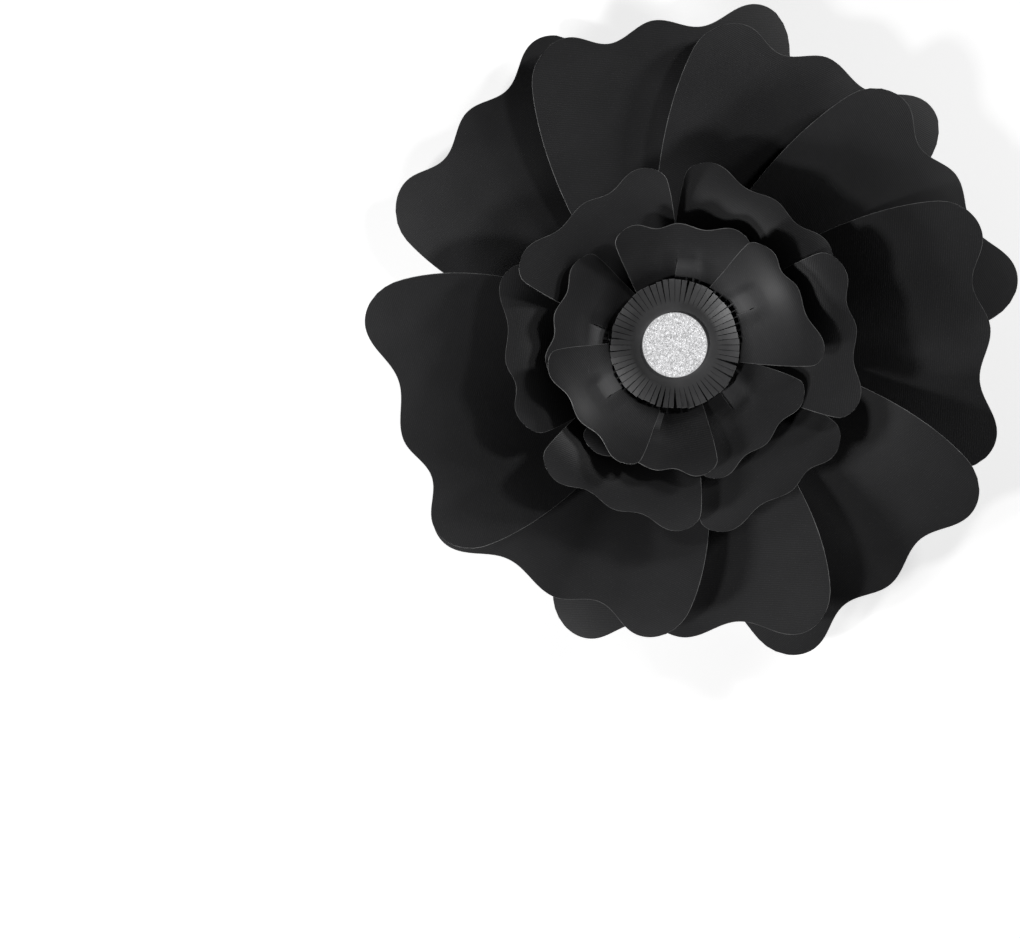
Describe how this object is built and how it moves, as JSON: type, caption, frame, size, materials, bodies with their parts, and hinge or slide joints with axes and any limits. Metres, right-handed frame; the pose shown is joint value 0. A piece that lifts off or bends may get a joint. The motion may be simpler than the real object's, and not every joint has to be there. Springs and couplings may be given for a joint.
{
  "type": "giant paper flower",
  "caption": "Large black card flower of scalloped, slit and lapped petals in three layers, with a fringed centre and a silver glitter disc.",
  "frame": {"origin": "centre of the back disc's rear face", "axes": "+Z out of the flower's face, +Y up and +X to the right as the flower is seen from the front"},
  "size_m": [0.3498, 0.3492, 0.0567],
  "materials": {
    "black_card": "matt embossed card",
    "back_board": "matt smooth board",
    "silver_glitter": "glitter coated"
  },
  "bodies": {
    "root": {"back_disc": "back_board", "outer_petal_1": "black_card", "outer_petal_2": "black_card", "outer_petal_3": "black_card", "outer_petal_4": "black_card", "outer_petal_5": "black_card", "outer_petal_6": "black_card", "outer_petal_7": "black_card", "outer_petal_8": "black_card", "outer_petal_9": "black_card", "middle_disc": "back_board", "middle_petal_1": "black_card", "middle_petal_2": "black_card", "middle_petal_3": "black_card", "middle_petal_4": "black_card", "middle_petal_5": "black_card", "middle_petal_6": "black_card", "inner_disc": "back_board", "inner_petal_1": "black_card", "inner_petal_2": "black_card", "inner_petal_3": "black_card", "inner_petal_4": "black_card", "inner_petal_5": "black_card", "inner_petal_6": "black_card", "fringed_centre": "black_card", "glitter_disc": "silver_glitter"}
  },
  "joints": []
}
